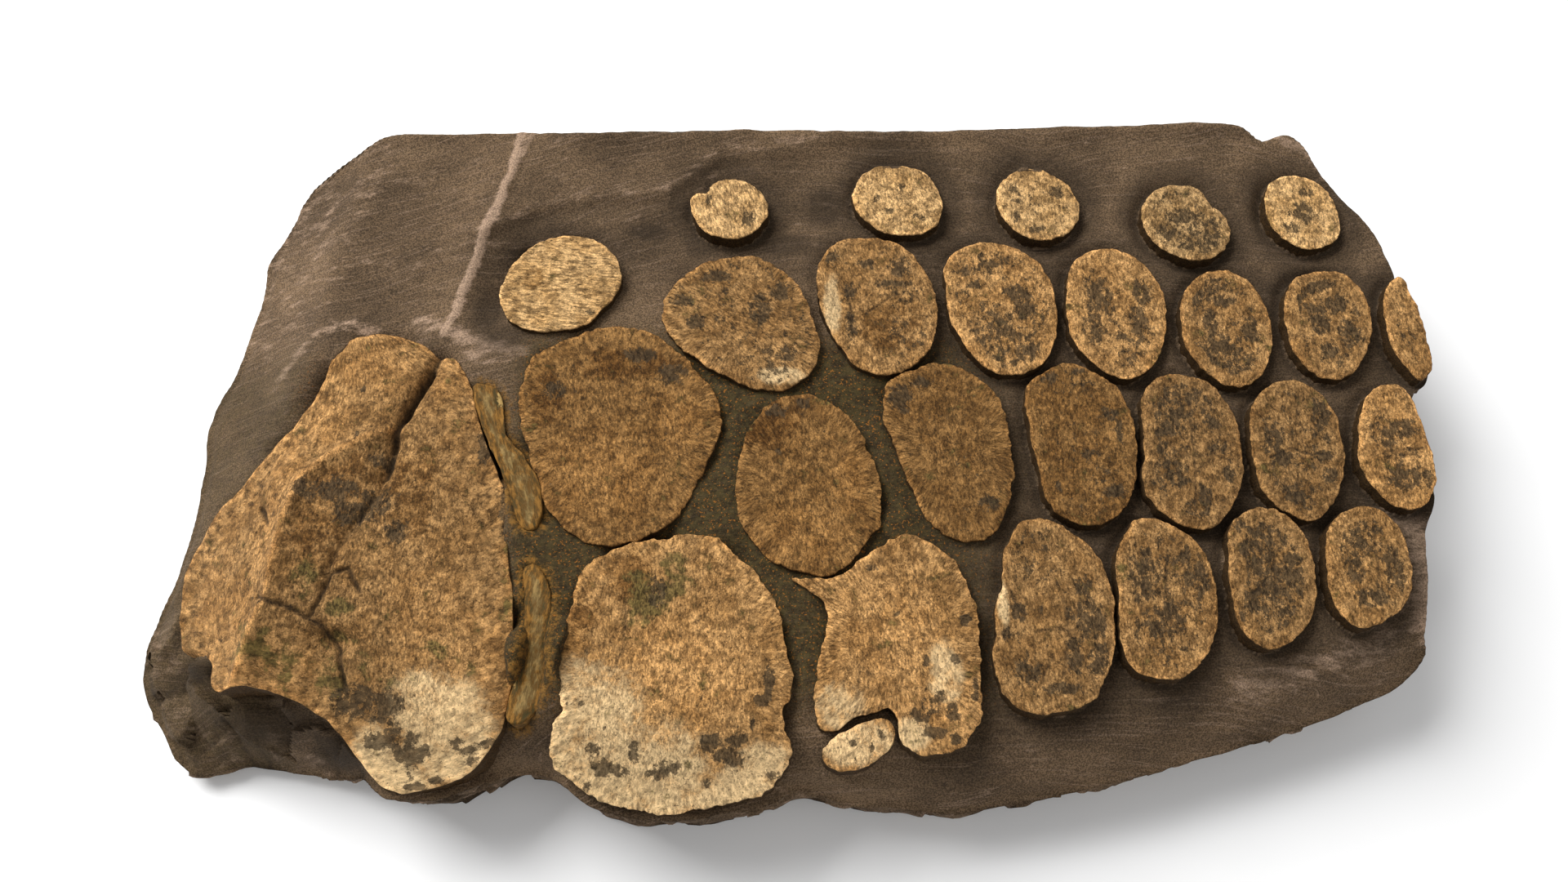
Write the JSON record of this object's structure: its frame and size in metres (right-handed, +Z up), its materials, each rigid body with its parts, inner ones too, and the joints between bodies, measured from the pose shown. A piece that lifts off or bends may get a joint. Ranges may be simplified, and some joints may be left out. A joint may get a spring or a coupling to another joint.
{
  "type": "fossil ichthyosaur forefin",
  "caption": "A fossil ichthyosaur forefin lying in a slab of dark shale, with a ridged humerus, a paving of rounded tan bones and an orange calcite vein between them.",
  "frame": {"origin": "centre of the flat underside of the slab, in the middle of the slab's outline", "axes": "+X points from the broken shoulder end of the fin to its outermost finger bones, +Y points to the fin's trailing edge with the small straw-coloured bones, +Z points up out of the bone side of the slab"},
  "size_m": [0.55, 0.304, 0.074],
  "materials": {
    "humerus": "dry brown fossil bone with a fibrous grain",
    "metacarpal_5": "dry straw-coloured fossil bone",
    "phalanx_5_1": "dry straw-coloured fossil bone",
    "phalanx_5_2": "dry tan fossil bone with darker patches",
    "phalanx_5_3": "dry tan fossil bone with darker patches",
    "phalanx_5_4": "dry tan fossil bone with darker patches",
    "pisiform": "dry straw-coloured fossil bone with a level grain",
    "ulnare": "dry tan fossil bone with fine cracks",
    "distal_carpal_4": "dry tan fossil bone with fine cracks",
    "metacarpal_4": "dry tan fossil bone with darker patches",
    "phalanx_4_1": "dry tan fossil bone with darker patches",
    "phalanx_4_2": "dry tan fossil bone with darker patches",
    "phalanx_4_3": "dry tan fossil bone with darker patches",
    "phalanx_4_4": "dry tan fossil bone with darker patches",
    "ulna": "dry tan fossil bone with a wrinkled margin",
    "intermedium": "dry tan fossil bone with dark smudges",
    "distal_carpal_3": "dry tan fossil bone with darker patches",
    "metacarpal_3": "dry tan fossil bone with darker patches",
    "phalanx_3_1": "dry tan fossil bone with darker patches",
    "phalanx_3_2": "dry tan fossil bone with darker patches",
    "phalanx_3_3": "dry tan fossil bone with darker patches",
    "radius": "dry tan to cream fossil bone with brown blotches",
    "radiale": "dry tan fossil bone with grey patches",
    "radiale_chip": "dry cream fossil bone with dark specks",
    "distal_carpal_2": "dry tan fossil bone with darker patches",
    "metacarpal_2": "dry tan fossil bone with darker patches",
    "phalanx_2_1": "dry tan fossil bone with darker patches",
    "phalanx_2_2": "dry tan fossil bone with darker patches",
    "calcite_seam_upper": "rough amber calcite",
    "calcite_seam_lower": "rough amber calcite",
    "matrix_slab": "matt dark shale with tool scratches"
  },
  "bodies": {
    "root": {"humerus": "humerus", "metacarpal_5": "metacarpal_5", "phalanx_5_1": "phalanx_5_1", "phalanx_5_2": "phalanx_5_2", "phalanx_5_3": "phalanx_5_3", "phalanx_5_4": "phalanx_5_4", "pisiform": "pisiform", "ulnare": "ulnare", "distal_carpal_4": "distal_carpal_4", "metacarpal_4": "metacarpal_4", "phalanx_4_1": "phalanx_4_1", "phalanx_4_2": "phalanx_4_2", "phalanx_4_3": "phalanx_4_3", "phalanx_4_4": "phalanx_4_4", "ulna": "ulna", "intermedium": "intermedium", "distal_carpal_3": "distal_carpal_3", "metacarpal_3": "metacarpal_3", "phalanx_3_1": "phalanx_3_1", "phalanx_3_2": "phalanx_3_2", "phalanx_3_3": "phalanx_3_3", "radius": "radius", "radiale": "radiale", "radiale_chip": "radiale_chip", "distal_carpal_2": "distal_carpal_2", "metacarpal_2": "metacarpal_2", "phalanx_2_1": "phalanx_2_1", "phalanx_2_2": "phalanx_2_2", "calcite_seam_upper": "calcite_seam_upper", "calcite_seam_lower": "calcite_seam_lower", "matrix_slab": "matrix_slab"}
  },
  "joints": []
}
